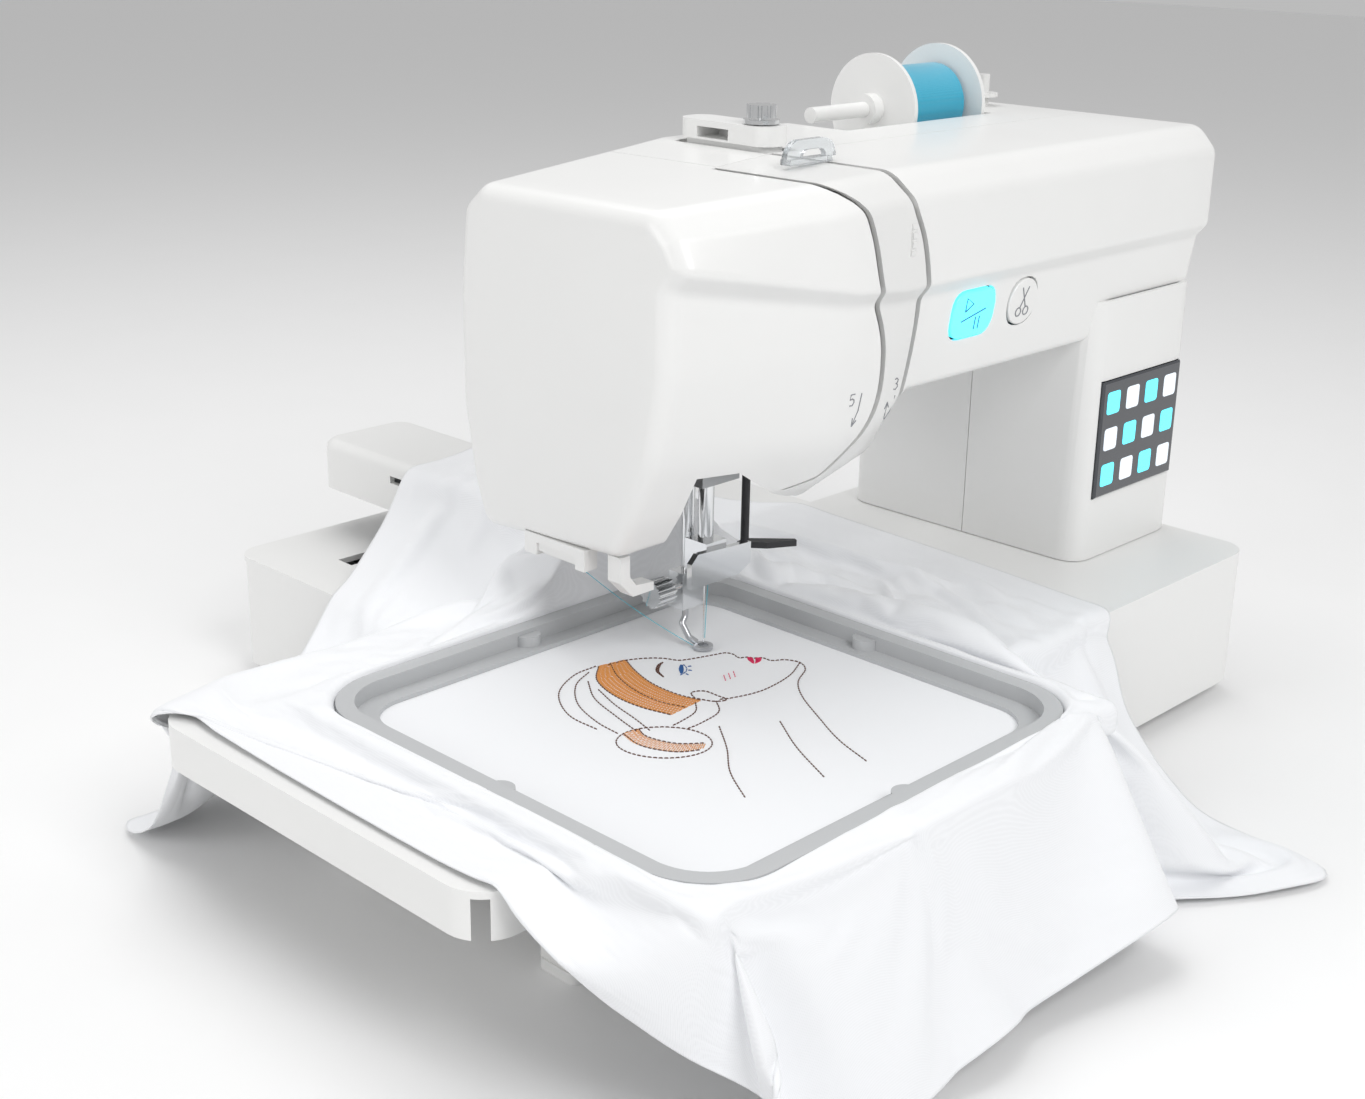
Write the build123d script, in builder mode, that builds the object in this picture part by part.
from build123d import *
import os

# Free-standing wide-arm embroidery machine with a hooped cloth, millimetres.
# Origin: on the table top straight under the needle. +X to the operator's right, +Y to the back, +Z up.

os.makedirs("parts", exist_ok=True)

# ---------------------------------------------------------------- driving dimensions
bed_height = 83.0          # table top to needle plate
arm_height = 222.0         # needle plate to the top of the arm
throat = 228.0             # needle to the column
column_width = 95.0
bed_front = -104.0
bed_back = 112.0
bed_left = -100.0
table_length = 122.0       # extension table, left of the bed
table_thick = 20.0
deck_back = 296.0          # back of the drive bay behind the bed
deck_top = 70.0
skin = 3.0                 # wall of every moulded cover
seam = 0.4                 # gap between neighbouring covers
foot_height = 8.0
run_gap = 0.05             # radial clearance of a running fit
free_gap = 0.4             # clearance between bodies that pass each other

# head and arm
head_left = -55.0
face_right = 44.0          # right edge of the face cover
strip_left = 48.0
strip_right = 62.0
arm_left = 66.0            # left edge of the arm's covers
arm_front = -60.0
arm_back = 104.0
arm_under = 119.0          # underside of the arm above the needle plate
cover_split = 20.0         # plane between front and rear covers

# hoop
window = 204.0             # clear opening inside the lower ledge
rim_inner = 222.0          # inner faces of the rim wall
rim_width = 8.0
rim_height = 10.0
ledge_height = 2.0
hoop_x = -57.7             # hoop centre at rest, from the needle
hoop_y = -53.3
outer_width = 5.0          # outer ring wall
cloth = 0.5                # fabric thickness

# embroidery arm and its slides
box_left = -2.0
box_width = 60.0
box_front = 79.0
box_back = 300.0
box_under = 12.0           # underside above the needle plate
box_tall = 28.0
travel_left = 35.0
travel_right = 153.0
travel_front = 39.0
travel_back = 149.0
saddle_y = 241.0
saddle_length = 10.0
x_rod_radius = 5.0
y_rod_radius = 4.0

# needle and foot
needle_bar_radius = 3.6
presser_bar_radius = 3.0
presser_y = 11.0
needle_tip = 2.0           # above the needle plate at rest
clamp_low = 39.0
needle_drop = 18.0
needle_rise = 17.0
foot_rise = 7.0

# drive
shaft_y = 41.0
shaft_z = 183.0            # above the needle plate
shaft_radius = 6.0
low_shaft_z = 46.0         # above the table
low_shaft_radius = 5.0
low_shaft_y = -2.0
wheel_radius = 30.0
wheel_width = 14.0
hook_y = -18.0
hook_radius = 17.0
bobbin_radius = 10.2
bobbin_tall = 11.5

# spool stand
pin_left = 158.0
pin_y = 82.0
pin_z = 226.0
pin_radius = 4.0
pin_length = 118.0
cap_radius = 28.5
rear_cap_radius = 31.0
thread_radius = 21.0
spool_length = 48.0
trough_front = 50.6
trough_floor = 190.0

B = bed_height
table_left = bed_left - table_length
column_left = throat
column_right = throat + column_width
deck_left = box_left - travel_left - 26
deck_right = box_left + box_width + travel_right + 26
box_right = box_left + box_width
box_mid = box_left + box_width / 2
floor_top = foot_height + skin
cloth_low = B + 0.5


# ---------------------------------------------------------------- shape helpers
def block(x0, x1, y0, y1, z0, z1, mode=Mode.ADD):
    """Box between two corners, in the active part."""
    with Locations(((x0 + x1) / 2, (y0 + y1) / 2, (z0 + z1) / 2)):
        Box(x1 - x0, y1 - y0, z1 - z0, mode=mode)


def rod(axis, a, b, radius, lo, hi, mode=Mode.ADD):
    """Cylinder along an axis from lo to hi; a and b are its two other coordinates in X, Y, Z order."""
    mid = (lo + hi) / 2
    place = {"x": (mid, a, b), "y": (a, mid, b), "z": (a, b, mid)}[axis]
    turn = {"x": (0, 90, 0), "y": (90, 0, 0), "z": (0, 0, 0)}[axis]
    with Locations(Location(place, turn)):
        Cylinder(radius, hi - lo, mode=mode)


def plan_block(x0, x1, y0, y1, z0, z1, radius, mode=Mode.ADD):
    """Box whose upright corners are rounded."""
    with BuildSketch(Plane.XY.offset(z0)) as plan:
        with Locations(((x0 + x1) / 2, (y0 + y1) / 2)):
            RectangleRounded(x1 - x0, y1 - y0, radius)
    extrude(plan.sketch, amount=z1 - z0, mode=mode)


def knob_profile(axis, a, b, radius, lo, hi, flutes, flute_radius):
    """Fluted hand knob along an axis."""
    rod(axis, a, b, radius, lo, hi)
    plane = {"x": Plane.YZ, "y": Plane.XZ, "z": Plane.XY}[axis]
    offset_sign = -1 if axis == "y" else 1
    with BuildSketch(plane.offset(offset_sign * lo)) as flute_plan:
        with Locations((a, b)):
            with PolarLocations(radius, flutes):
                Circle(flute_radius)
    extrude(flute_plan.sketch, amount=offset_sign * (hi - lo), mode=Mode.SUBTRACT)


# ---------------------------------------------------------------- head and arm outlines
# Each head section lists the same corners in (y, height above the needle plate), from the upper front
# corner over the top, down the back, along the underside and up the front past the brow.
head_sections = {
    head_left: [(-28, -19), (-16, -11), (92, -11), (103, -22), (107, -56), (107, 109 - arm_height),
                (100, 72 - arm_height), (92, 51 - arm_height), (4, 57 - arm_height),
                (-6, 76 - arm_height), (-20, 105 - arm_height), (-27, 145 - arm_height), (-27, -40),
                (-37, -32)],
    30.0: [(-58, -10), (-48, -2), (94, -2), (104, -14), (106, -56), (106, 120 - arm_height),
           (100, 95 - arm_height), (92, 80 - arm_height), (-28, 76 - arm_height),
           (-40, 84 - arm_height), (-50, 105 - arm_height), (-54, 145 - arm_height), (-54, -54),
           (-60, -48)],
    arm_left: [(-60, -9), (-50, 0), (95, 0), (104, -12), (104, -56), (104, 140 - arm_height),
               (100, 125 - arm_height), (92, 119 - arm_height), (-40, 108 - arm_height),
               (-46, 112 - arm_height), (-51, 125 - arm_height), (-54, 145 - arm_height), (-54, -57),
               (-60, -51)],
}


def head_solid(inset, mode=Mode.ADD):
    """Head as a loft of its sections, each drawn in by inset; the left end moves in by the same."""
    sections = []
    for x, corners in head_sections.items():
        place = x + inset if x == head_left else x
        with BuildSketch(Plane.YZ.offset(place)) as section:
            with BuildLine():
                Polyline([(y, B + arm_height + z) for y, z in corners], close=True)
            make_face()
            if inset:
                offset(amount=-inset, kind=Kind.INTERSECTION, mode=Mode.REPLACE)
        sections.append(section.sketch.face())
    loft(sections, ruled=True, mode=mode)


def arm_solid(inset, mode=Mode.ADD):
    """Arm and column, drawn in by inset on every side but the open left end and the open foot."""
    with BuildSketch(Plane.YZ.offset(arm_left)) as outline:
        with BuildLine():
            Polyline([(arm_front, B + 171), (arm_front, B + arm_height - 9), (arm_front + 10, B + arm_height),
                      (arm_back - 9, B + arm_height), (arm_back, B + arm_height - 12),
                      (arm_back, B + arm_under), (arm_front + 13, B + arm_under),
                      (arm_front + 6, B + 165)], close=True)
        make_face()
        if inset:
            offset(amount=-inset, kind=Kind.INTERSECTION, mode=Mode.REPLACE)
    extrude(outline.sketch, amount=column_right - inset - arm_left, mode=mode)
    block(column_left + inset, column_right - inset, arm_front + 6 + inset, arm_back - inset,
          B, B + arm_under + 20, mode)


# ---------------------------------------------------------------- base
with BuildPart() as base_shell:
    plan_block(bed_left, column_right, bed_front, bed_back, foot_height, B - skin, 16)
    plan_block(deck_left, deck_right, bed_back - 40, deck_back, foot_height, deck_top - skin, 16)
    plan_block(bed_left + skin, column_right - skin, bed_front + skin, bed_back - skin,
               floor_top, B, 13, Mode.SUBTRACT)
    block(deck_left + skin, deck_right - skin, bed_back, deck_back - skin, floor_top, B, Mode.SUBTRACT)
    # opening for the mains inlet and the switch, low on the right side
    block(column_right - skin - 1, column_right + 1, 20, 64, 26, 56, Mode.SUBTRACT)
base_shell.part.label = "base_shell"
export_step(base_shell.part, "parts/base_shell.step")

plate_x = (-42.0, 58.0)
plate_y = (-64.0, 30.0)
with BuildPart() as bed_cover:
    plan_block(bed_left, column_right, bed_front, bed_back, B - skin, B, 16)
    block(*plate_x, *plate_y, B - skin - 1, B + 1, Mode.SUBTRACT)
    block(column_left + 16, column_right - 6, -50, 98, B - skin - 1, B + 1, Mode.SUBTRACT)
bed_cover.part.label = "bed_cover"
export_step(bed_cover.part, "parts/bed_cover.step")

slot_left = box_mid - 22 - travel_left
slot_right = box_mid + 22 + travel_right
with BuildPart() as deck_cover:
    plan_block(deck_left, deck_right, bed_back + seam, deck_back, deck_top - skin, deck_top, 14)
    block(slot_left, slot_right, saddle_y - saddle_length / 2 - 1, saddle_y + saddle_length / 2 + 1,
          deck_top - skin - 1, deck_top + 1, Mode.SUBTRACT)
deck_cover.part.label = "deck_cover"
export_step(deck_cover.part, "parts/deck_cover.step")

foot_spots = [(bed_left + 30, bed_front + 28), (column_right - 30, bed_front + 28),
              (bed_left + 30, bed_back - 24), (column_right - 30, bed_back - 24),
              (deck_left + 26, deck_back - 26), (deck_right - 26, deck_back - 26), (0, 0)]
with BuildPart() as rubber_feet:
    with BuildSketch():
        with Locations(*foot_spots):
            Circle(13)
    extrude(amount=foot_height)
    chamfer(rubber_feet.edges().group_by(Axis.Z)[0], 1.5)
rubber_feet.part.label = "rubber_feet"
export_step(rubber_feet.part, "parts/rubber_feet.step")

# extension table: a shallow tray turned upside down, with ribs, carried by two folding legs
table_right = bed_left - seam
leg_y = (bed_front + 44, bed_back - 44)
leg_x = table_left + 82
leg_z = B - table_thick + 8
leg_pin_radius = 3.05
with BuildPart() as extension_table:
    plan_block(table_left, table_right, bed_front, bed_back, B - table_thick, B, 18)
    block(table_left + skin, table_right - skin, bed_front + skin, bed_back - skin,
          B - table_thick - 1, B - skin, Mode.SUBTRACT)
    for rib_y in (bed_front + 70, bed_back - 70):
        block(table_left + 1, table_right - 1, rib_y - 1.5, rib_y + 1.5, B - 7, B - 1)
    for y in leg_y:
        for side in (-1, 1):
            ear_y = y + side * 13
            block(leg_x - 8, leg_x + 8, ear_y - 2, ear_y + 2, B - table_thick + 2, B - 1)
            rod("y", leg_x, leg_z, leg_pin_radius + run_gap, ear_y - 3, ear_y + 3, Mode.SUBTRACT)
extension_table.part.label = "extension_table"
export_step(extension_table.part, "parts/extension_table.step")

with BuildPart() as table_leg:
    for y in leg_y:
        block(leg_x - 6, leg_x + 6, y - 10, y + 10, 4, leg_z)
        rod("y", leg_x, leg_z, 6, y - 10, y + 10)
        rod("y", leg_x, leg_z, leg_pin_radius, y - 15, y + 15)
        plan_block(leg_x - 7, leg_x + 7, y - 12, y + 12, 0, 5, 5)
    block(leg_x - 3, leg_x + 3, *leg_y, 24, 38)
table_leg.part.label = "table_leg"
export_step(table_leg.part, "parts/table_leg.step")

# ---------------------------------------------------------------- frame casting
beam = (26.0, 62.0)
beam_low = 138.0
beam_top = 165.0
bush_blocks = ((84, 96), (146, 160))
upper_bearings = ((0, 14), (130, 144), (column_right - 42, column_right - 34))
lower_bearings = ((40, 52), (column_right - 55, column_right - 43))
lifter_y = 36.0
lifter_z = 76.0
lever_y = 12.0             # pivot of the take-up lever
lever_z = B + 176
threader = (31.0, 4.0)
with BuildPart() as frame_casting:
    block(bed_left + 14, column_right - 16, bed_front + 18, bed_back - 16, floor_top, floor_top + 8)
    block(column_left + 20, column_right - 28, 58, 94, floor_top + 4, B + beam_top)
    block(-24, column_right - 34, *beam, B + beam_low, B + beam_top)
    block(-12, 12, 20, 34, B + bush_blocks[0][0], B + beam_top)
    for low, high in bush_blocks:
        block(-12, 12, -9, 24, B + low, B + high)
    for x0, x1 in upper_bearings:
        block(x0, x1, shaft_y - 8, shaft_y + 8, B + beam_top - 1, B + shaft_z + 12)
    for x0, x1 in lower_bearings:
        block(x0, x1, low_shaft_y - 11, low_shaft_y + 11, floor_top + 4, low_shaft_z + 12)
    block(10, 30, lever_y - 8, 34, B + beam_top - 4, lever_z + 8)
    block(10, threader[0] + 7, threader[1] - 7, 24, B + 88, B + 95)
    rod("z", 0, 0, needle_bar_radius + run_gap, B + 60, B + beam_top + 10, Mode.SUBTRACT)
    rod("z", 0, presser_y, presser_bar_radius + run_gap, B + 60, B + beam_top + 10, Mode.SUBTRACT)
    rod("x", shaft_y, B + shaft_z, shaft_radius + run_gap, -30, column_right, Mode.SUBTRACT)
    rod("x", low_shaft_y, low_shaft_z, low_shaft_radius + run_gap, 20, column_right - 30, Mode.SUBTRACT)
    rod("x", lever_y, lever_z, 3, 8, 32, Mode.SUBTRACT)
    rod("z", *threader, 2 + run_gap, B + 80, B + 100, Mode.SUBTRACT)
    # cheeks and pin for the presser lifter
    for x0, x1 in ((-9, -4.6), (4.6, 9)):
        block(x0, x1, 28, 42, B + lifter_z - 6, B + bush_blocks[0][0] + 8)
    rod("x", lifter_y, B + lifter_z, 1.5, -9, 9)
    # clear holes for the hook's stub shaft in the base plate
    rod("z", 0, hook_y, 4 + run_gap, floor_top - 1, floor_top + 12, Mode.SUBTRACT)
frame_casting.part.label = "frame_casting"
export_step(frame_casting.part, "parts/frame_casting.step")

# ---------------------------------------------------------------- covers of head, arm and column
far = 1000.0
trough_left = pin_left - 8
trough_right = pin_left + pin_length - 4
cutter_y = (cover_split + 2, cover_split + 42)
wrap_right = 24.0          # the face cover wraps the left end of the head up to here


def cover_shell():
    """Hollow outer skin of head, arm and column, with the spool trough let into the top."""
    with BuildPart() as whole:
        head_solid(0)
        arm_solid(0)
        head_solid(skin, Mode.SUBTRACT)
        arm_solid(skin, Mode.SUBTRACT)
        block(arm_left - 6, arm_left + 6, arm_front + 14, arm_back - 12,
              B + arm_under + 6, B + arm_height - 12, Mode.SUBTRACT)
        block(trough_left - skin, trough_right + skin, trough_front - skin, arm_back,
              B + trough_floor - skin, B + arm_height)
        block(trough_left, trough_right, trough_front, arm_back + 10,
              B + trough_floor, B + arm_height + 10, Mode.SUBTRACT)
        # bay for the thread cutter at the lower left edge, slot for the presser lifter
        block(head_left - 1, head_left + 9, cutter_y[0] - seam, cutter_y[1] + seam, B + 40, B + 57.5,
              Mode.SUBTRACT)
        block(-11, 11, cover_split, 78, B + 40, B + 84, Mode.SUBTRACT)
    return whole.part


shell = cover_shell()

with BuildPart() as face_cover:
    add(shell)
    block(-far, face_right, -far, far, 0, far, Mode.INTERSECT)
    block(wrap_right, far, cover_split, far, 0, far, Mode.SUBTRACT)
    # the needle bar, foot and threader come out of the open underside
    block(head_left + 24, face_right + 1, -34, cover_split + 1, B, B + 86, Mode.SUBTRACT)
face_cover.part.label = "face_cover"
export_step(face_cover.part, "parts/face_cover.step")

guide_peg = (strip_left + 6, -11)
with BuildPart() as thread_strip:
    add(shell)
    block(strip_left, strip_right, -far, cover_split, 0, far, Mode.INTERSECT)
    block(strip_left - 1, strip_right + 1, -34, cover_split + 1, B, B + 120, Mode.SUBTRACT)
    rod("z", *guide_peg, 1.6, B + arm_height - 10, B + arm_height + 1, Mode.SUBTRACT)
thread_strip.part.label = "thread_strip"
export_step(thread_strip.part, "parts/thread_strip.step")

button_z = B + 151
start_x = 122.0
cutter_x = 162.0
start_size = (33.0, 23.0)
cutter_radius = 11.5
screen = (column_left + 10, column_right - 9, B + 34, B + 98)     # x0, x1, z0, z1
column_front = arm_front + 6
wheel_z = B + 193
wheel_y = arm_front + 24
with BuildPart() as arm_front_cover:
    add(shell)
    block(arm_left, far, -far, cover_split, 0, far, Mode.INTERSECT)
    # windows for the buttons
    with BuildSketch(Plane.XZ.offset(-arm_front - 20)):
        with Locations((start_x, button_z)):
            RectangleRounded(start_size[0] + 2 * free_gap, start_size[1] + 4 * free_gap, 9)
        with Locations((cutter_x, button_z)):
            Circle(cutter_radius + 2 * free_gap)
    extrude(amount=40, both=True, mode=Mode.SUBTRACT)
    # opening for the touch screen in the column's front
    block(screen[0], screen[1], column_front - 10, column_front + 10, screen[2], screen[3], Mode.SUBTRACT)
arm_front_cover.part.label = "arm_front_cover"
export_step(arm_front_cover.part, "parts/arm_front_cover.step")

handle_y = arm_back + 10
handle_z = B + 172
handle_x = (120.0, 250.0)
guide_x = (58.0, 77.0)
guide_y = (22.0, 80.0)
winder = (column_right - 24, 76.0)
handle_drop = 70.0
with BuildPart() as arm_rear_cover:
    add(shell)
    block(-far, far, cover_split + seam, far, 0, far, Mode.INTERSECT)
    block(-far, wrap_right + seam, -far, far, 0, far, Mode.SUBTRACT)
    # hole for the handwheel shaft
    rod("x", shaft_y, B + shaft_z, shaft_radius + 1, column_right - 10, column_right + 5, Mode.SUBTRACT)
    # opening for the retractable thread guide, hole for the bobbin winder's spindle
    block(guide_x[0] - free_gap, guide_x[1] + free_gap, guide_y[0] - free_gap, guide_y[1] + free_gap,
          B + arm_height - 10, B + arm_height + 1, Mode.SUBTRACT)
    rod("z", *winder, 3 + run_gap, B + arm_height - 10, B + arm_height + 1, Mode.SUBTRACT)
    # bosses that carry the handle's pivots
    for x in handle_x:
        block(x - 7, x + 7, arm_back - 2, handle_y + 7, handle_z - 8, handle_z + 8)
        rod("x", handle_y, handle_z, 3 + run_gap, x - 8, x + 8, Mode.SUBTRACT)
arm_rear_cover.part.label = "arm_rear_cover"
export_step(arm_rear_cover.part, "parts/arm_rear_cover.step")

with BuildPart() as carrying_handle:
    for x, side in ((handle_x[0], 1), (handle_x[1], -1)):
        inner = x + side * 7.5
        block(min(inner, inner + side * 7), max(inner, inner + side * 7),
              handle_y - 5, handle_y + 5, handle_z - handle_drop, handle_z + 6)
        rod("x", handle_y, handle_z, 3, min(x - side * 7, inner + side), max(x - side * 7, inner + side))
    rod("x", handle_y, handle_z - handle_drop, 6, handle_x[0] + 7.5, handle_x[1] - 7.5)
carrying_handle.part.label = "carrying_handle"
export_step(carrying_handle.part, "parts/carrying_handle.step")

# ---------------------------------------------------------------- buttons and screen
band_lean = 7.0            # the band below the crease leans back by this much ...
band_drop = 46.0           # ... over this height
button_proud = 1.2
band_y = arm_front + 6 + (B + 165 - button_z) * band_lean / band_drop
button_plane = Plane(origin=(0, band_y, button_z), x_dir=(1, 0, 0), z_dir=(0, -band_drop, -band_lean))
with BuildPart() as start_stop_button:
    with BuildSketch(button_plane.offset(button_proud)):
        with Locations((start_x, 0)):
            RectangleRounded(*start_size, 9)
    extrude(amount=-14)
    fillet(start_stop_button.edges().group_by(Axis.Y)[0], 0.8)
start_stop_button.part.label = "start_stop_button"
export_step(start_stop_button.part, "parts/start_stop_button.step")

with BuildPart() as thread_cut_button:
    with BuildSketch(button_plane.offset(button_proud)):
        with Locations((cutter_x, 0)):
            Circle(cutter_radius)
    extrude(amount=-14)
    fillet(thread_cut_button.edges().group_by(Axis.Y)[0], 0.8)
thread_cut_button.part.label = "thread_cut_button"
export_step(thread_cut_button.part, "parts/thread_cut_button.step")

with BuildPart() as touch_screen:
    block(screen[0] + seam, screen[1] - seam, column_front - 1.5, column_front + 8,
          screen[2] + seam, screen[3] - seam)
    chamfer(touch_screen.faces().sort_by(Axis.Y)[0].edges(), 1)
touch_screen.part.label = "touch_screen"
export_step(touch_screen.part, "parts/touch_screen.step")

switch_pivot = (column_right - 6, 41.0)
switch_pin_radius = 1.5
switch_pin_y = (51.0, 63.0)
with BuildPart() as mains_inlet:
    block(column_right - 26, column_right, 20 + seam, 64 - seam, 26 + seam, 56 - seam)
    block(column_right - 18, column_right + 1, 25, 43, 33, 49, Mode.SUBTRACT)
    block(column_right - 14, column_right + 1, 53, 61, 31, 51, Mode.SUBTRACT)
    for z in (37, 45):
        block(column_right - 19, column_right - 6, 33, 35, z - 1.5, z + 1.5)
    rod("y", *switch_pivot, switch_pin_radius + run_gap, *switch_pin_y, Mode.SUBTRACT)
mains_inlet.part.label = "mains_inlet"
export_step(mains_inlet.part, "parts/mains_inlet.step")

switch_sides = (53.4, 60.6)
with BuildPart() as power_switch:
    with BuildSketch(Plane.XZ.offset(-switch_sides[0])):
        with BuildLine():
            Polyline((column_right - 7, 33.5), (column_right - 7, 48.5), (column_right - 1.5, 49.5),
                     (column_right - 3, 41), (column_right + 1.5, 32.5), close=True)
        make_face()
    extrude(amount=switch_sides[0] - switch_sides[1])
    rod("y", *switch_pivot, switch_pin_radius, switch_pin_y[0] + run_gap, switch_pin_y[1] - run_gap)
power_switch.part.label = "power_switch"
export_step(power_switch.part, "parts/power_switch.step")

# ---------------------------------------------------------------- needle plate and hook
cover_x = (-20.0, 20.0)
cover_y = (-54.0, -5.0)
with BuildPart() as needle_plate:
    block(plate_x[0] + seam, plate_x[1] - seam, plate_y[0] + seam, plate_y[1] - seam, B - 2.5, B)
    block(*cover_x, *cover_y, B - 4, B + 1, Mode.SUBTRACT)
    rod("z", 0, 0, 1.4, B - 4, B + 1, Mode.SUBTRACT)
    with Locations((-32, -50, B), (48, -50, B), (-32, 20, B), (48, 20, B)):
        CounterSinkHole(1.6, 3, counter_sink_angle=90)
needle_plate.part.label = "needle_plate"
export_step(needle_plate.part, "parts/needle_plate.step")

with BuildPart() as bobbin_cover:
    block(cover_x[0] + free_gap, cover_x[1] - free_gap, cover_y[0] + free_gap, cover_y[1] - free_gap,
          B - 2, B)
bobbin_cover.part.label = "bobbin_cover"
export_step(bobbin_cover.part, "parts/bobbin_cover.step")

with BuildPart() as bobbin:
    rod("z", 0, hook_y, 4.5, B - 16, B - 16 + bobbin_tall)
    for z in (B - 16, B - 16 + bobbin_tall - 1):
        rod("z", 0, hook_y, bobbin_radius, z, z + 1)
    rod("z", 0, hook_y, bobbin_radius - 1.5, B - 15, B - 6)
    rod("z", 0, hook_y, 3, B - 20, B, Mode.SUBTRACT)
bobbin.part.label = "bobbin"
export_step(bobbin.part, "parts/bobbin.step")

with BuildPart() as bobbin_case:
    rod("z", 0, hook_y, bobbin_radius + 2.8, B - 18, B - 5)
    rod("z", 0, hook_y, bobbin_radius + 0.6, B - 16.5, B, Mode.SUBTRACT)
    rod("z", 0, hook_y, 2.6, B - 17, B - 8)
bobbin_case.part.label = "bobbin_case"
export_step(bobbin_case.part, "parts/bobbin_case.step")

gear_gap = abs(hook_y - low_shaft_y)
hook_gear_radius = gear_gap * 0.6
with BuildPart() as hook_race:
    rod("z", 0, hook_y, hook_radius, B - 24, B - 9)
    rod("z", 0, hook_y, bobbin_radius + 3.4, B - 20, B, Mode.SUBTRACT)
    rod("z", 0, hook_y, 4, floor_top + 1, B - 22)
    knob_profile("z", 0, hook_y, hook_gear_radius - 0.4, low_shaft_z - 5, low_shaft_z + 5, 18, 0.9)
hook_race.part.label = "hook_race"
export_step(hook_race.part, "parts/hook_race.step")

# ---------------------------------------------------------------- shafts, pulleys, belts, motor
belt_x = (column_right - 31, column_right - 23)
motor_belt_x = (column_right - 20, column_right - 12)
upper_pulley_radius = 14.0
big_pulley_radius = 24.0
small_pulley_radius = 8.0
motor_y = -14.0
motor_z = B + 70
with BuildPart() as upper_shaft:
    rod("x", shaft_y, B + shaft_z, shaft_radius, -30, column_right + wheel_width)
    rod("x", shaft_y, B + shaft_z, 17, -36, -26)
    rod("x", shaft_y - 11, B + shaft_z, 2.5, -27, -21)
    rod("x", shaft_y, B + shaft_z, upper_pulley_radius, belt_x[0] - 1, belt_x[1] + 1)
    rod("x", shaft_y, B + shaft_z, big_pulley_radius, motor_belt_x[0] - 1, motor_belt_x[1] + 1)
upper_shaft.part.label = "upper_shaft"
export_step(upper_shaft.part, "parts/upper_shaft.step")

with BuildPart() as handwheel:
    knob_profile("x", shaft_y, B + shaft_z, wheel_radius, column_right + 1, column_right + wheel_width, 24, 1.6)
    rod("x", shaft_y, B + shaft_z, shaft_radius, column_right, column_right + wheel_width + 1, Mode.SUBTRACT)
handwheel.part.label = "handwheel"
export_step(handwheel.part, "parts/handwheel.step")

with BuildPart() as lower_shaft:
    rod("x", low_shaft_y, low_shaft_z, low_shaft_radius, -10, column_right - 20)
    rod("x", low_shaft_y, low_shaft_z, gear_gap - hook_gear_radius - 0.1, -8, 8)
    rod("x", low_shaft_y, low_shaft_z, upper_pulley_radius, belt_x[0] - 1, belt_x[1] + 1)
lower_shaft.part.label = "lower_shaft"
export_step(lower_shaft.part, "parts/lower_shaft.step")


def belt(x0, x1, first, second):
    """Flat belt round two pulleys, each given as (y, z, radius)."""
    with BuildSketch(Plane.YZ.offset(x0)) as loop:
        for extra, mode in ((1.8, Mode.ADD), (0.3, Mode.SUBTRACT)):
            with BuildSketch(Plane.YZ.offset(x0), mode=Mode.PRIVATE) as band:
                for y, z, radius in (first, second):
                    with Locations((y, z)):
                        Circle(radius + extra)
                make_hull()
            add(band.sketch_local, mode=mode)
    extrude(loop.sketch, amount=x1 - x0)


with BuildPart() as drive_belts:
    belt(*belt_x, (shaft_y, B + shaft_z, upper_pulley_radius), (low_shaft_y, low_shaft_z, upper_pulley_radius))
    belt(*motor_belt_x, (shaft_y, B + shaft_z, big_pulley_radius), (motor_y, motor_z, small_pulley_radius))
drive_belts.part.label = "drive_belts"
export_step(drive_belts.part, "parts/drive_belts.step")

with BuildPart() as main_motor:
    rod("x", motor_y, motor_z, 27, column_left + 14, column_right - 34)
    rod("x", motor_y, motor_z, 4.1, column_right - 40, column_right - 33, Mode.SUBTRACT)
    block(column_left + 20, column_right - 40, motor_y + 20, 58, motor_z - 16, motor_z + 16)
main_motor.part.label = "main_motor"
export_step(main_motor.part, "parts/main_motor.step")

with BuildPart() as motor_pulley:
    rod("x", motor_y, motor_z, 4, column_right - 39, column_right - 9)
    rod("x", motor_y, motor_z, small_pulley_radius, motor_belt_x[0] - 1, motor_belt_x[1] + 1)
motor_pulley.part.label = "motor_pulley"
export_step(motor_pulley.part, "parts/motor_pulley.step")

# ---------------------------------------------------------------- needle bar and take-up lever
bar_low = B + clamp_low + 8
with BuildPart() as needle_bar:
    rod("z", 0, 0, needle_bar_radius, bar_low, B + beam_top + 11)
    # connecting block, with the stub of the link to the crank
    block(-7, 7, -6, 6, B + 116, B + 127)
    block(-16.5, -13, -4, 4, B + 117, B + 124)
    block(-14, -6, -4, 4, B + 117, B + 124)
    block(-16.5, -13, -4, 18, B + 121, B + 127)
needle_bar.part.label = "needle_bar"
export_step(needle_bar.part, "parts/needle_bar.step")

with BuildPart() as needle_clamp:
    block(-6.5, 6.5, -7, 6.5, B + clamp_low, B + clamp_low + 17)
    # wide polished thread guide across the front of the clamp
    with BuildSketch(Plane.XZ.offset(7)):
        with BuildLine():
            Polyline((-19, B + clamp_low - 1), (12, B + clamp_low - 1), (20, B + clamp_low + 3),
                     (20, B + clamp_low + 13), (-15, B + clamp_low + 15), (-19, B + clamp_low + 11),
                     close=True)
        make_face()
    extrude(amount=3)
    rod("z", 0, 0, needle_bar_radius, bar_low, B + clamp_low + 18, Mode.SUBTRACT)
    rod("z", 0, 0, 1.05, B + clamp_low - 1, bar_low + 1, Mode.SUBTRACT)
    rod("x", 0, B + clamp_low + 4, 1.6, 1, 8, Mode.SUBTRACT)
needle_clamp.part.label = "needle_clamp"
export_step(needle_clamp.part, "parts/needle_clamp.step")

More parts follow.
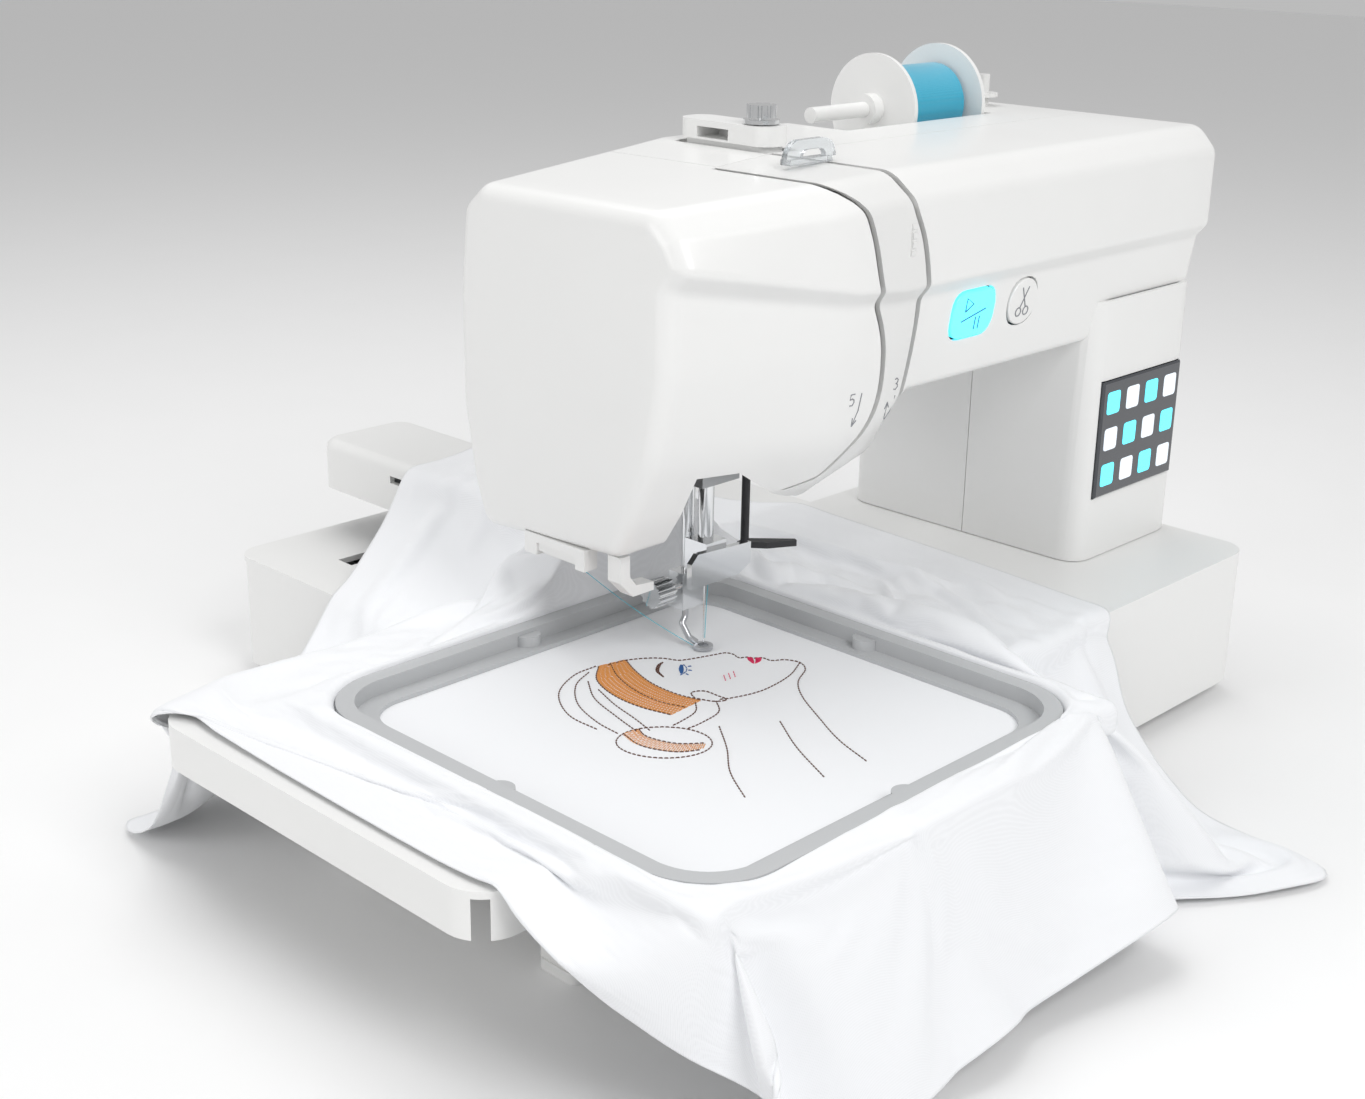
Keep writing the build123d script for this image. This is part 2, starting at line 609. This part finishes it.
with BuildPart() as needle_clamp_screw:
    rod("x", 0, B + clamp_low + 4, 1.6 - run_gap, 1.6, 14)
    knob_profile("x", 0, B + clamp_low + 4, 5, 13, 25, 12, 0.9)
needle_clamp_screw.part.label = "needle_clamp_screw"
export_step(needle_clamp_screw.part, "parts/needle_clamp_screw.step")

with BuildPart() as needle:
    with BuildSketch(Plane.XZ):
        with BuildLine():
            Polyline((0, B + needle_tip), (0.45, B + needle_tip + 4), (0.45, B + clamp_low - 6),
                     (1.05, B + clamp_low - 4), (1.05, bar_low), (0, bar_low), close=True)
        make_face()
    revolve(axis=Axis.Z)
needle.part.label = "needle"
export_step(needle.part, "parts/needle.step")

with BuildPart() as take_up_lever:
    lever_x = (face_right + strip_left) / 2
    rod("x", lever_y, lever_z, 3 - run_gap, 10, lever_x + 3)
    rod("x", lever_y, lever_z, 7, lever_x - 8, lever_x - 2.5)
    block(lever_x - 4, lever_x - 1.4, lever_y - 20, lever_y, lever_z - 3, lever_z + 3)
    block(lever_x - 1.4, lever_x + 1.4, arm_front + 8, lever_y - 12, lever_z - 2.5, lever_z + 2.5)
    block(lever_x - 1.4, lever_x + 1.4, arm_front + 8, arm_front + 12, lever_z - 2.5, lever_z + 12)
    rod("x", arm_front + 10, lever_z + 9, 1, lever_x - 3, lever_x + 2, Mode.SUBTRACT)
take_up_lever.part.label = "take_up_lever"
export_step(take_up_lever.part, "parts/take_up_lever.step")

# ---------------------------------------------------------------- presser bar and foot
foot_gap = 2 * cloth + 0.7
with BuildPart() as presser_bar:
    rod("z", 0, presser_y, presser_bar_radius, B + 22, B + beam_top + 6)
    block(-8, 8, presser_y - 2.5, presser_y + 7, B + 104, B + 112)
presser_bar.part.label = "presser_bar"
export_step(presser_bar.part, "parts/presser_bar.step")

with BuildPart() as foot_holder:
    block(-7, 7, presser_y - 3.8, presser_y + 5, B + 20, B + 38)
    rod("z", 0, presser_y, presser_bar_radius, B + 22, B + 40, Mode.SUBTRACT)
    rod("x", presser_y, B + 31, 1.5, -8, -2, Mode.SUBTRACT)
foot_holder.part.label = "foot_holder"
export_step(foot_holder.part, "parts/foot_holder.step")

with BuildPart() as foot_thumbscrew:
    rod("x", presser_y, B + 31, 1.5 - run_gap, -14, -3.2)
    knob_profile("x", presser_y, B + 31, 6.5, -24, -13, 14, 1.0)
foot_thumbscrew.part.label = "foot_thumbscrew"
export_step(foot_thumbscrew.part, "parts/foot_thumbscrew.step")

with BuildPart() as embroidery_foot:
    with BuildLine() as foot_path:
        FilletPolyline((0, 4.4, B + foot_gap + 1.6), (-3, 6.5, B + 6), (-3.6, presser_y - 0.5, B + 12),
                       (-1, presser_y, B + 15), (-1, presser_y, B + 20), radius=1.5)
    with BuildSketch(Plane(origin=foot_path.line @ 0, z_dir=foot_path.line % 0)):
        Circle(1.5)
    sweep(path=foot_path.line)
    rod("z", 0, 0, 4.6, B + foot_gap, B + foot_gap + 1.6)
    rod("z", 0, 0, 2.4, B, B + foot_gap + 3, Mode.SUBTRACT)
embroidery_foot.part.label = "embroidery_foot"
export_step(embroidery_foot.part, "parts/embroidery_foot.step")

with BuildPart() as presser_lifter:
    rod("x", lifter_y, B + lifter_z, 4.5, -4, 4)
    with BuildSketch(Plane.YZ.offset(-3)):
        with BuildLine():
            Polyline((34, B + 79), (39, B + 78), (46, B + 62), (58, B + 52), (58, B + 47),
                     (54, B + 47), (41, B + 58), (33, B + 73), close=True)
        make_face()
    extrude(amount=6)
    rod("x", lifter_y, B + lifter_z, 1.5 + run_gap, -5, 5, Mode.SUBTRACT)
presser_lifter.part.label = "presser_lifter"
export_step(presser_lifter.part, "parts/presser_lifter.step")

with BuildPart() as needle_threader:
    rod("z", *threader, 2, B + 44, B + 118)
    with BuildSketch(Plane.XY.offset(B + 43)):
        with BuildLine():
            Polyline((threader[0] - 3, threader[1] + 2), (threader[0] + 3, threader[1] + 3),
                     (threader[0] + 20, threader[1] - 14), (threader[0] + 19, threader[1] - 16),
                     (threader[0] + 6, threader[1] - 9), close=True)
        make_face()
    extrude(amount=3)
needle_threader.part.label = "needle_threader"
export_step(needle_threader.part, "parts/needle_threader.step")

# ---------------------------------------------------------------- thread path
with BuildPart() as thread_cutter:
    block(head_left, head_left + 8, *cutter_y, B + 47, B + 57)
    block(head_left - 1, head_left + 4, cutter_y[0] + 6, cutter_y[1] - 8, B + 46, B + 53, Mode.SUBTRACT)
    block(head_left + 1.2, head_left + 2, cutter_y[0] + 4, cutter_y[1] - 6, B + 49, B + 54)
thread_cutter.part.label = "thread_cutter"
export_step(thread_cutter.part, "parts/thread_cutter.step")

hook_y_span = (6, 14)
with BuildPart() as thread_hook:
    with BuildSketch(Plane.XZ.offset(-hook_y_span[0])):
        with BuildLine():
            Polyline((-48, B + 56), (-48, B + 44), (-40, B + 36), (-27, B + 36), (-27, B + 40),
                     (-38, B + 41), (-42, B + 46), (-42, B + 56), close=True)
        make_face()
    extrude(amount=hook_y_span[0] - hook_y_span[1])
thread_hook.part.label = "thread_hook"
export_step(thread_hook.part, "parts/thread_hook.step")

with BuildPart() as tension_dial:
    knob_profile("x", wheel_y, wheel_z, 25.4, strip_right + free_gap, arm_left - free_gap, 40, 0.8)
    rod("x", wheel_y, wheel_z, 3 + run_gap, strip_right, arm_left, Mode.SUBTRACT)
tension_dial.part.label = "tension_dial"
export_step(tension_dial.part, "parts/tension_dial.step")

guide_low = B + arm_height - 22
guide_out = 11.0
guide_in = 9.0
disc_spot = ((guide_x[0] + guide_x[1]) / 2, guide_y[0] + 12)
with BuildPart() as upper_thread_guide:
    plan_block(*guide_x, *guide_y, B + arm_height + guide_out - 9, B + arm_height + guide_out, 8)
    plan_block(guide_x[0] + 2, guide_x[1] - 2, guide_y[0] + 2, guide_y[1] - 2, guide_low,
               B + arm_height + guide_out - 8, 6)
    block(guide_x[0] - 1, guide_x[1] - 4, guide_y[0] + 24, guide_y[1] - 14,
          B + arm_height + 3, B + arm_height + 8, Mode.SUBTRACT)
    rod("z", *disc_spot, 1.5, B + arm_height, B + arm_height + guide_out + 1, Mode.SUBTRACT)
upper_thread_guide.part.label = "upper_thread_guide"
export_step(upper_thread_guide.part, "parts/upper_thread_guide.step")

with BuildPart() as pretension_disc:
    rod("z", *disc_spot, 1.5 - run_gap, B + arm_height + 2, B + arm_height + guide_out + 6)
    rod("z", *disc_spot, 8.5, B + arm_height + guide_out + 0.6, B + arm_height + guide_out + 2.4)
    knob_profile("z", *disc_spot, 7, B + arm_height + guide_out + 3.2, B + arm_height + guide_out + 9, 10, 1)
pretension_disc.part.label = "pretension_disc"
export_step(pretension_disc.part, "parts/pretension_disc.step")

with BuildPart() as clear_thread_guide:
    block(34, 62, -14, -8, B + arm_height + 0.1, B + arm_height + 2.5)
    rod("z", *guide_peg, 1.5, B + arm_height - 8, B + arm_height + 1)
    with BuildSketch(Plane.XZ.offset(9)):
        with Locations((50, B + arm_height + 2)):
            SlotCenterToCenter(16, 17)
        with Locations((52, B + arm_height + 2)):
            SlotCenterToCenter(8, 8, mode=Mode.SUBTRACT)
        with Locations((50, B + arm_height - 8)):
            Rectangle(60, 20, mode=Mode.SUBTRACT)
    extrude(amount=3)
clear_thread_guide.part.label = "clear_thread_guide"
export_step(clear_thread_guide.part, "parts/clear_thread_guide.step")

# ---------------------------------------------------------------- spool stand and bobbin winder
cap_x = pin_left + 50
spool_x = cap_x + 6.6
with BuildPart() as spool_pin:
    rod("x", pin_y, B + pin_z, pin_radius, pin_left, pin_left + pin_length - 2)
spool_pin.part.label = "spool_pin"
export_step(spool_pin.part, "parts/spool_pin.step")

with BuildPart() as spool_cap_front:
    rod("x", pin_y, B + pin_z, cap_radius, cap_x, cap_x + 2.6)
    rod("x", pin_y, B + pin_z, 8, cap_x - 7, cap_x + 6)
    rod("x", pin_y, B + pin_z, pin_radius + run_gap, cap_x - 10, cap_x + 10, Mode.SUBTRACT)
spool_cap_front.part.label = "spool_cap_front"
export_step(spool_cap_front.part, "parts/spool_cap_front.step")

with BuildPart() as spool_cap_rear:
    rod("x", pin_y, B + pin_z, rear_cap_radius, spool_x + spool_length + 0.6, spool_x + spool_length + 3.4)
    rod("x", pin_y, B + pin_z, pin_radius, spool_x, spool_x + spool_length + 10, Mode.SUBTRACT)
spool_cap_rear.part.label = "spool_cap_rear"
export_step(spool_cap_rear.part, "parts/spool_cap_rear.step")

with BuildPart() as thread_spool:
    rod("x", pin_y, B + pin_z, thread_radius, spool_x + 2, spool_x + spool_length - 2)
    rod("x", pin_y, B + pin_z, thread_radius - 3, spool_x, spool_x + spool_length)
    rod("x", pin_y, B + pin_z, pin_radius + run_gap, spool_x - 1, spool_x + spool_length + 1, Mode.SUBTRACT)
thread_spool.part.label = "thread_spool"
export_step(thread_spool.part, "parts/thread_spool.step")

with BuildPart() as bobbin_winder:
    rod("z", *winder, 3, B + arm_height - 14, B + arm_height + 17)
    rod("z", *winder, 8, B + arm_height + 5, B + arm_height + 7)
bobbin_winder.part.label = "bobbin_winder"
export_step(bobbin_winder.part, "parts/bobbin_winder.step")

# ---------------------------------------------------------------- embroidery drive
x_rod_y = (saddle_y - 27, saddle_y + 27)
x_rod_z = 43.0
arm_low = B + box_under
with BuildPart() as x_guide_rods:
    for y in x_rod_y:
        rod("x", y, x_rod_z, x_rod_radius, deck_left + 4, deck_right - 4)
    for x0, x1 in ((deck_left + 4, deck_left + 20), (deck_right - 20, deck_right - 4)):
        block(x0, x1, x_rod_y[0] - 9, x_rod_y[1] + 9, floor_top, x_rod_z + 10)
x_guide_rods.part.label = "x_guide_rods"
export_step(x_guide_rods.part, "parts/x_guide_rods.step")

y_rod_x = (box_mid - 14, box_mid + 14)
y_rod_z = arm_low + 12
saddle_ends = (saddle_y - saddle_length / 2, saddle_y + saddle_length / 2)
neck_half = 20.0
neck_ends = (saddle_y - 2.5, saddle_y + 2.5)
with BuildPart() as x_carriage:
    block(box_left, box_right, x_rod_y[0] - 10, x_rod_y[1] + 10, x_rod_z - 12, x_rod_z + 13)
    block(box_mid - neck_half, box_mid + neck_half, *neck_ends, x_rod_z + 12, arm_low + 6)
    block(box_mid - 24, box_mid + 24, *saddle_ends, arm_low + 5, arm_low + 20)
    for y in x_rod_y:
        rod("x", y, x_rod_z, x_rod_radius + run_gap, box_left - 1, box_right + 1, Mode.SUBTRACT)
    for x in y_rod_x:
        rod("y", x, y_rod_z, y_rod_radius + run_gap, saddle_ends[0] - 1, saddle_ends[1] + 1, Mode.SUBTRACT)
x_carriage.part.label = "x_carriage"
export_step(x_carriage.part, "parts/x_carriage.step")

with BuildPart() as embroidery_arm_cover:
    plan_block(box_left, box_right, box_front, box_back, arm_low, arm_low + box_tall, 12)
    fillet(embroidery_arm_cover.faces().sort_by(Axis.Z)[-1].edges(), 6)
    plan_block(box_left + skin, box_right - skin, box_front + skin, box_back - skin,
               arm_low - 1, arm_low + box_tall - skin, 9, Mode.SUBTRACT)
    # recess low in the left side
    block(box_left - 1, box_left + skin + 1, box_back - 90, box_back - 66, arm_low + 16, arm_low + 20,
          Mode.SUBTRACT)
embroidery_arm_cover.part.label = "embroidery_arm_cover"
export_step(embroidery_arm_cover.part, "parts/embroidery_arm_cover.step")

# floor of the arm, with a tongue that carries the hoop; the tongue is bent down in front of the arm
hoop_half = rim_inner / 2 + rim_width + outer_width
hoop_back = hoop_y + hoop_half
tongue_z = arm_low - 2.3
knob_spot = (box_left - 18, box_front + 11)
with BuildPart() as embroidery_arm_plate:
    plan_block(box_left + skin, box_right - skin, box_front + skin, box_back - skin,
               arm_low, arm_low + 2.5, 9)
    block(box_mid - neck_half - 2, box_mid + neck_half + 2, neck_ends[0] - travel_back - 1,
          neck_ends[1] + travel_front + 1, arm_low - 1, arm_low + 3, Mode.SUBTRACT)
    block(knob_spot[0] - 12, box_right - 6, box_front - 3, box_front + 5, tongue_z, arm_low)
    block(knob_spot[0] - 12, box_mid - neck_half - 3, box_front - 3, box_front + 23, tongue_z, arm_low)
    rod("z", *knob_spot, 3 + run_gap, tongue_z - 1, arm_low + 3, Mode.SUBTRACT)
embroidery_arm_plate.part.label = "embroidery_arm_plate"
export_step(embroidery_arm_plate.part, "parts/embroidery_arm_plate.step")

with BuildPart() as y_guide_rods:
    for x in y_rod_x:
        rod("y", x, y_rod_z, y_rod_radius, box_front + skin, box_back - skin)
y_guide_rods.part.label = "y_guide_rods"
export_step(y_guide_rods.part, "parts/y_guide_rods.step")

# ---------------------------------------------------------------- hoop
ring_low = cloth_low + 0.1
corner = 26.0


def ring(size_out, size_in, r_out, r_in, z0, z1, mode=Mode.ADD):
    """Square ring with rounded corners, centred on the hoop."""
    with BuildSketch(Plane.XY.offset(z0)) as outline:
        with Locations((hoop_x, hoop_y)):
            RectangleRounded(size_out, size_out, r_out)
            RectangleRounded(size_in, size_in, r_in, mode=Mode.SUBTRACT)
    extrude(outline.sketch, amount=z1 - z0, mode=mode)


rim_outer = rim_inner + 2 * rim_width
with BuildPart() as hoop_inner:
    ring(rim_outer, rim_inner, corner + rim_width, corner, cloth_low + cloth, B + rim_height)
    ring(rim_inner + 2, window, corner + 1, corner - 6, cloth_low + cloth, cloth_low + cloth + ledge_height)
    # half-round stiffening ribs against the middle of each wall
    for dx, dy in ((1, 0), (-1, 0), (0, 1), (0, -1)):
        reach = rim_inner / 2
        rod("z", hoop_x + dx * reach, hoop_y + dy * reach, 6, cloth_low + cloth + 1, B + rim_height - 2)
hoop_inner.part.label = "hoop_inner"
export_step(hoop_inner.part, "parts/hoop_inner.step")

wedge = 0.6
screw_spot = (hoop_x, hoop_y - hoop_half - 6, B + 5)
with BuildPart() as hoop_outer:
    ring(rim_outer + 2 * wedge + 2 * outer_width, rim_outer + 2 * wedge, corner + rim_width + 5,
         corner + rim_width + 0.6, ring_low, B + rim_height - 1.4)
    # lug that takes the attaching knob, under the arm's tongue
    block(knob_spot[0] - 10, box_right - 8, hoop_back - 4, box_front + 4, ring_low, tongue_z - 0.3)
    block(knob_spot[0] - 10, box_mid - neck_half - 3, hoop_back - 4, box_front + 21, ring_low, tongue_z - 0.3)
    rod("z", *knob_spot, 3 + run_gap, ring_low - 1, tongue_z + 1, Mode.SUBTRACT)
    # split front side with two lugs for the tightening screw
    block(screw_spot[0] - 16, screw_spot[0] + 16, screw_spot[1] - 7, hoop_y - hoop_half + 3, ring_low,
          B + rim_height - 1.4)
    block(screw_spot[0] - 3, screw_spot[0] + 3, screw_spot[1] - 8, hoop_y - hoop_half + outer_width + 2,
          ring_low - 1, B + rim_height + 1, Mode.SUBTRACT)
    rod("x", screw_spot[1], screw_spot[2], 2.2 + run_gap, screw_spot[0] - 18, screw_spot[0] + 18, Mode.SUBTRACT)
hoop_outer.part.label = "hoop_outer"
export_step(hoop_outer.part, "parts/hoop_outer.step")

with BuildPart() as hoop_screw:
    rod("x", screw_spot[1], screw_spot[2], 2.2, screw_spot[0] - 20, screw_spot[0] + 18)
    rod("x", screw_spot[1], screw_spot[2], 3.2, screw_spot[0] - 20, screw_spot[0] - 16.6)
    knob_profile("x", screw_spot[1], screw_spot[2], 4, screw_spot[0] + 16.6, screw_spot[0] + 32, 10, 0.8)
hoop_screw.part.label = "hoop_screw"
export_step(hoop_screw.part, "parts/hoop_screw.step")

with BuildPart() as hoop_knob:
    rod("z", *knob_spot, 3, ring_low + 0.4, arm_low + 4)
    knob_profile("z", *knob_spot, 9, arm_low + 0.6, arm_low + 12, 12, 1.2)
hoop_knob.part.label = "hoop_knob"
export_step(hoop_knob.part, "parts/hoop_knob.step")

# ---------------------------------------------------------------- cloth
cloth_left = table_left - 26
cloth_right = column_left - 8
cloth_front = hoop_y - hoop_half - 62
cloth_back = 236.0
cloth_drop = 22.0
over_hoop = B + rim_height + 0.8
over_arm = arm_low + box_tall + 4
with BuildPart() as fabric:
    # stretched across the hoop, under the inner ring
    with BuildSketch(Plane.XY.offset(cloth_low)) as stretched:
        with Locations((hoop_x, hoop_y)):
            RectangleRounded(rim_outer, rim_outer, corner + rim_width)
    extrude(amount=cloth)
    # loose margin: level round the hoop, up and over the arm behind it, down in front and at the left
    ring_gap = rim_outer / 2 + 0.8
    block(cloth_left, hoop_x - ring_gap, cloth_front, hoop_back + 1, over_hoop, over_hoop + 1)
    block(hoop_x + ring_gap, cloth_right, cloth_front, hoop_back + 1, over_hoop, over_hoop + 1)
    block(hoop_x - ring_gap - 1, hoop_x + ring_gap + 1, hoop_y + ring_gap, hoop_back + 1, over_hoop,
          over_hoop + 1)
    block(hoop_x - ring_gap - 1, hoop_x + ring_gap + 1, cloth_front, hoop_y - ring_gap, over_hoop,
          over_hoop + 1)
    block(cloth_left, cloth_left + 1, cloth_front, cloth_back, cloth_drop, over_hoop + 1)
    block(cloth_left, cloth_right, cloth_front - 0.5, cloth_front + 0.5, cloth_drop, over_hoop + 1)
    block(cloth_left, cloth_right, hoop_back, hoop_back + 1, over_hoop, over_arm + 1)
    block(cloth_left, cloth_right, hoop_back, cloth_back, over_arm, over_arm + 1)
fabric.part.label = "fabric"
export_step(fabric.part, "parts/fabric.step")
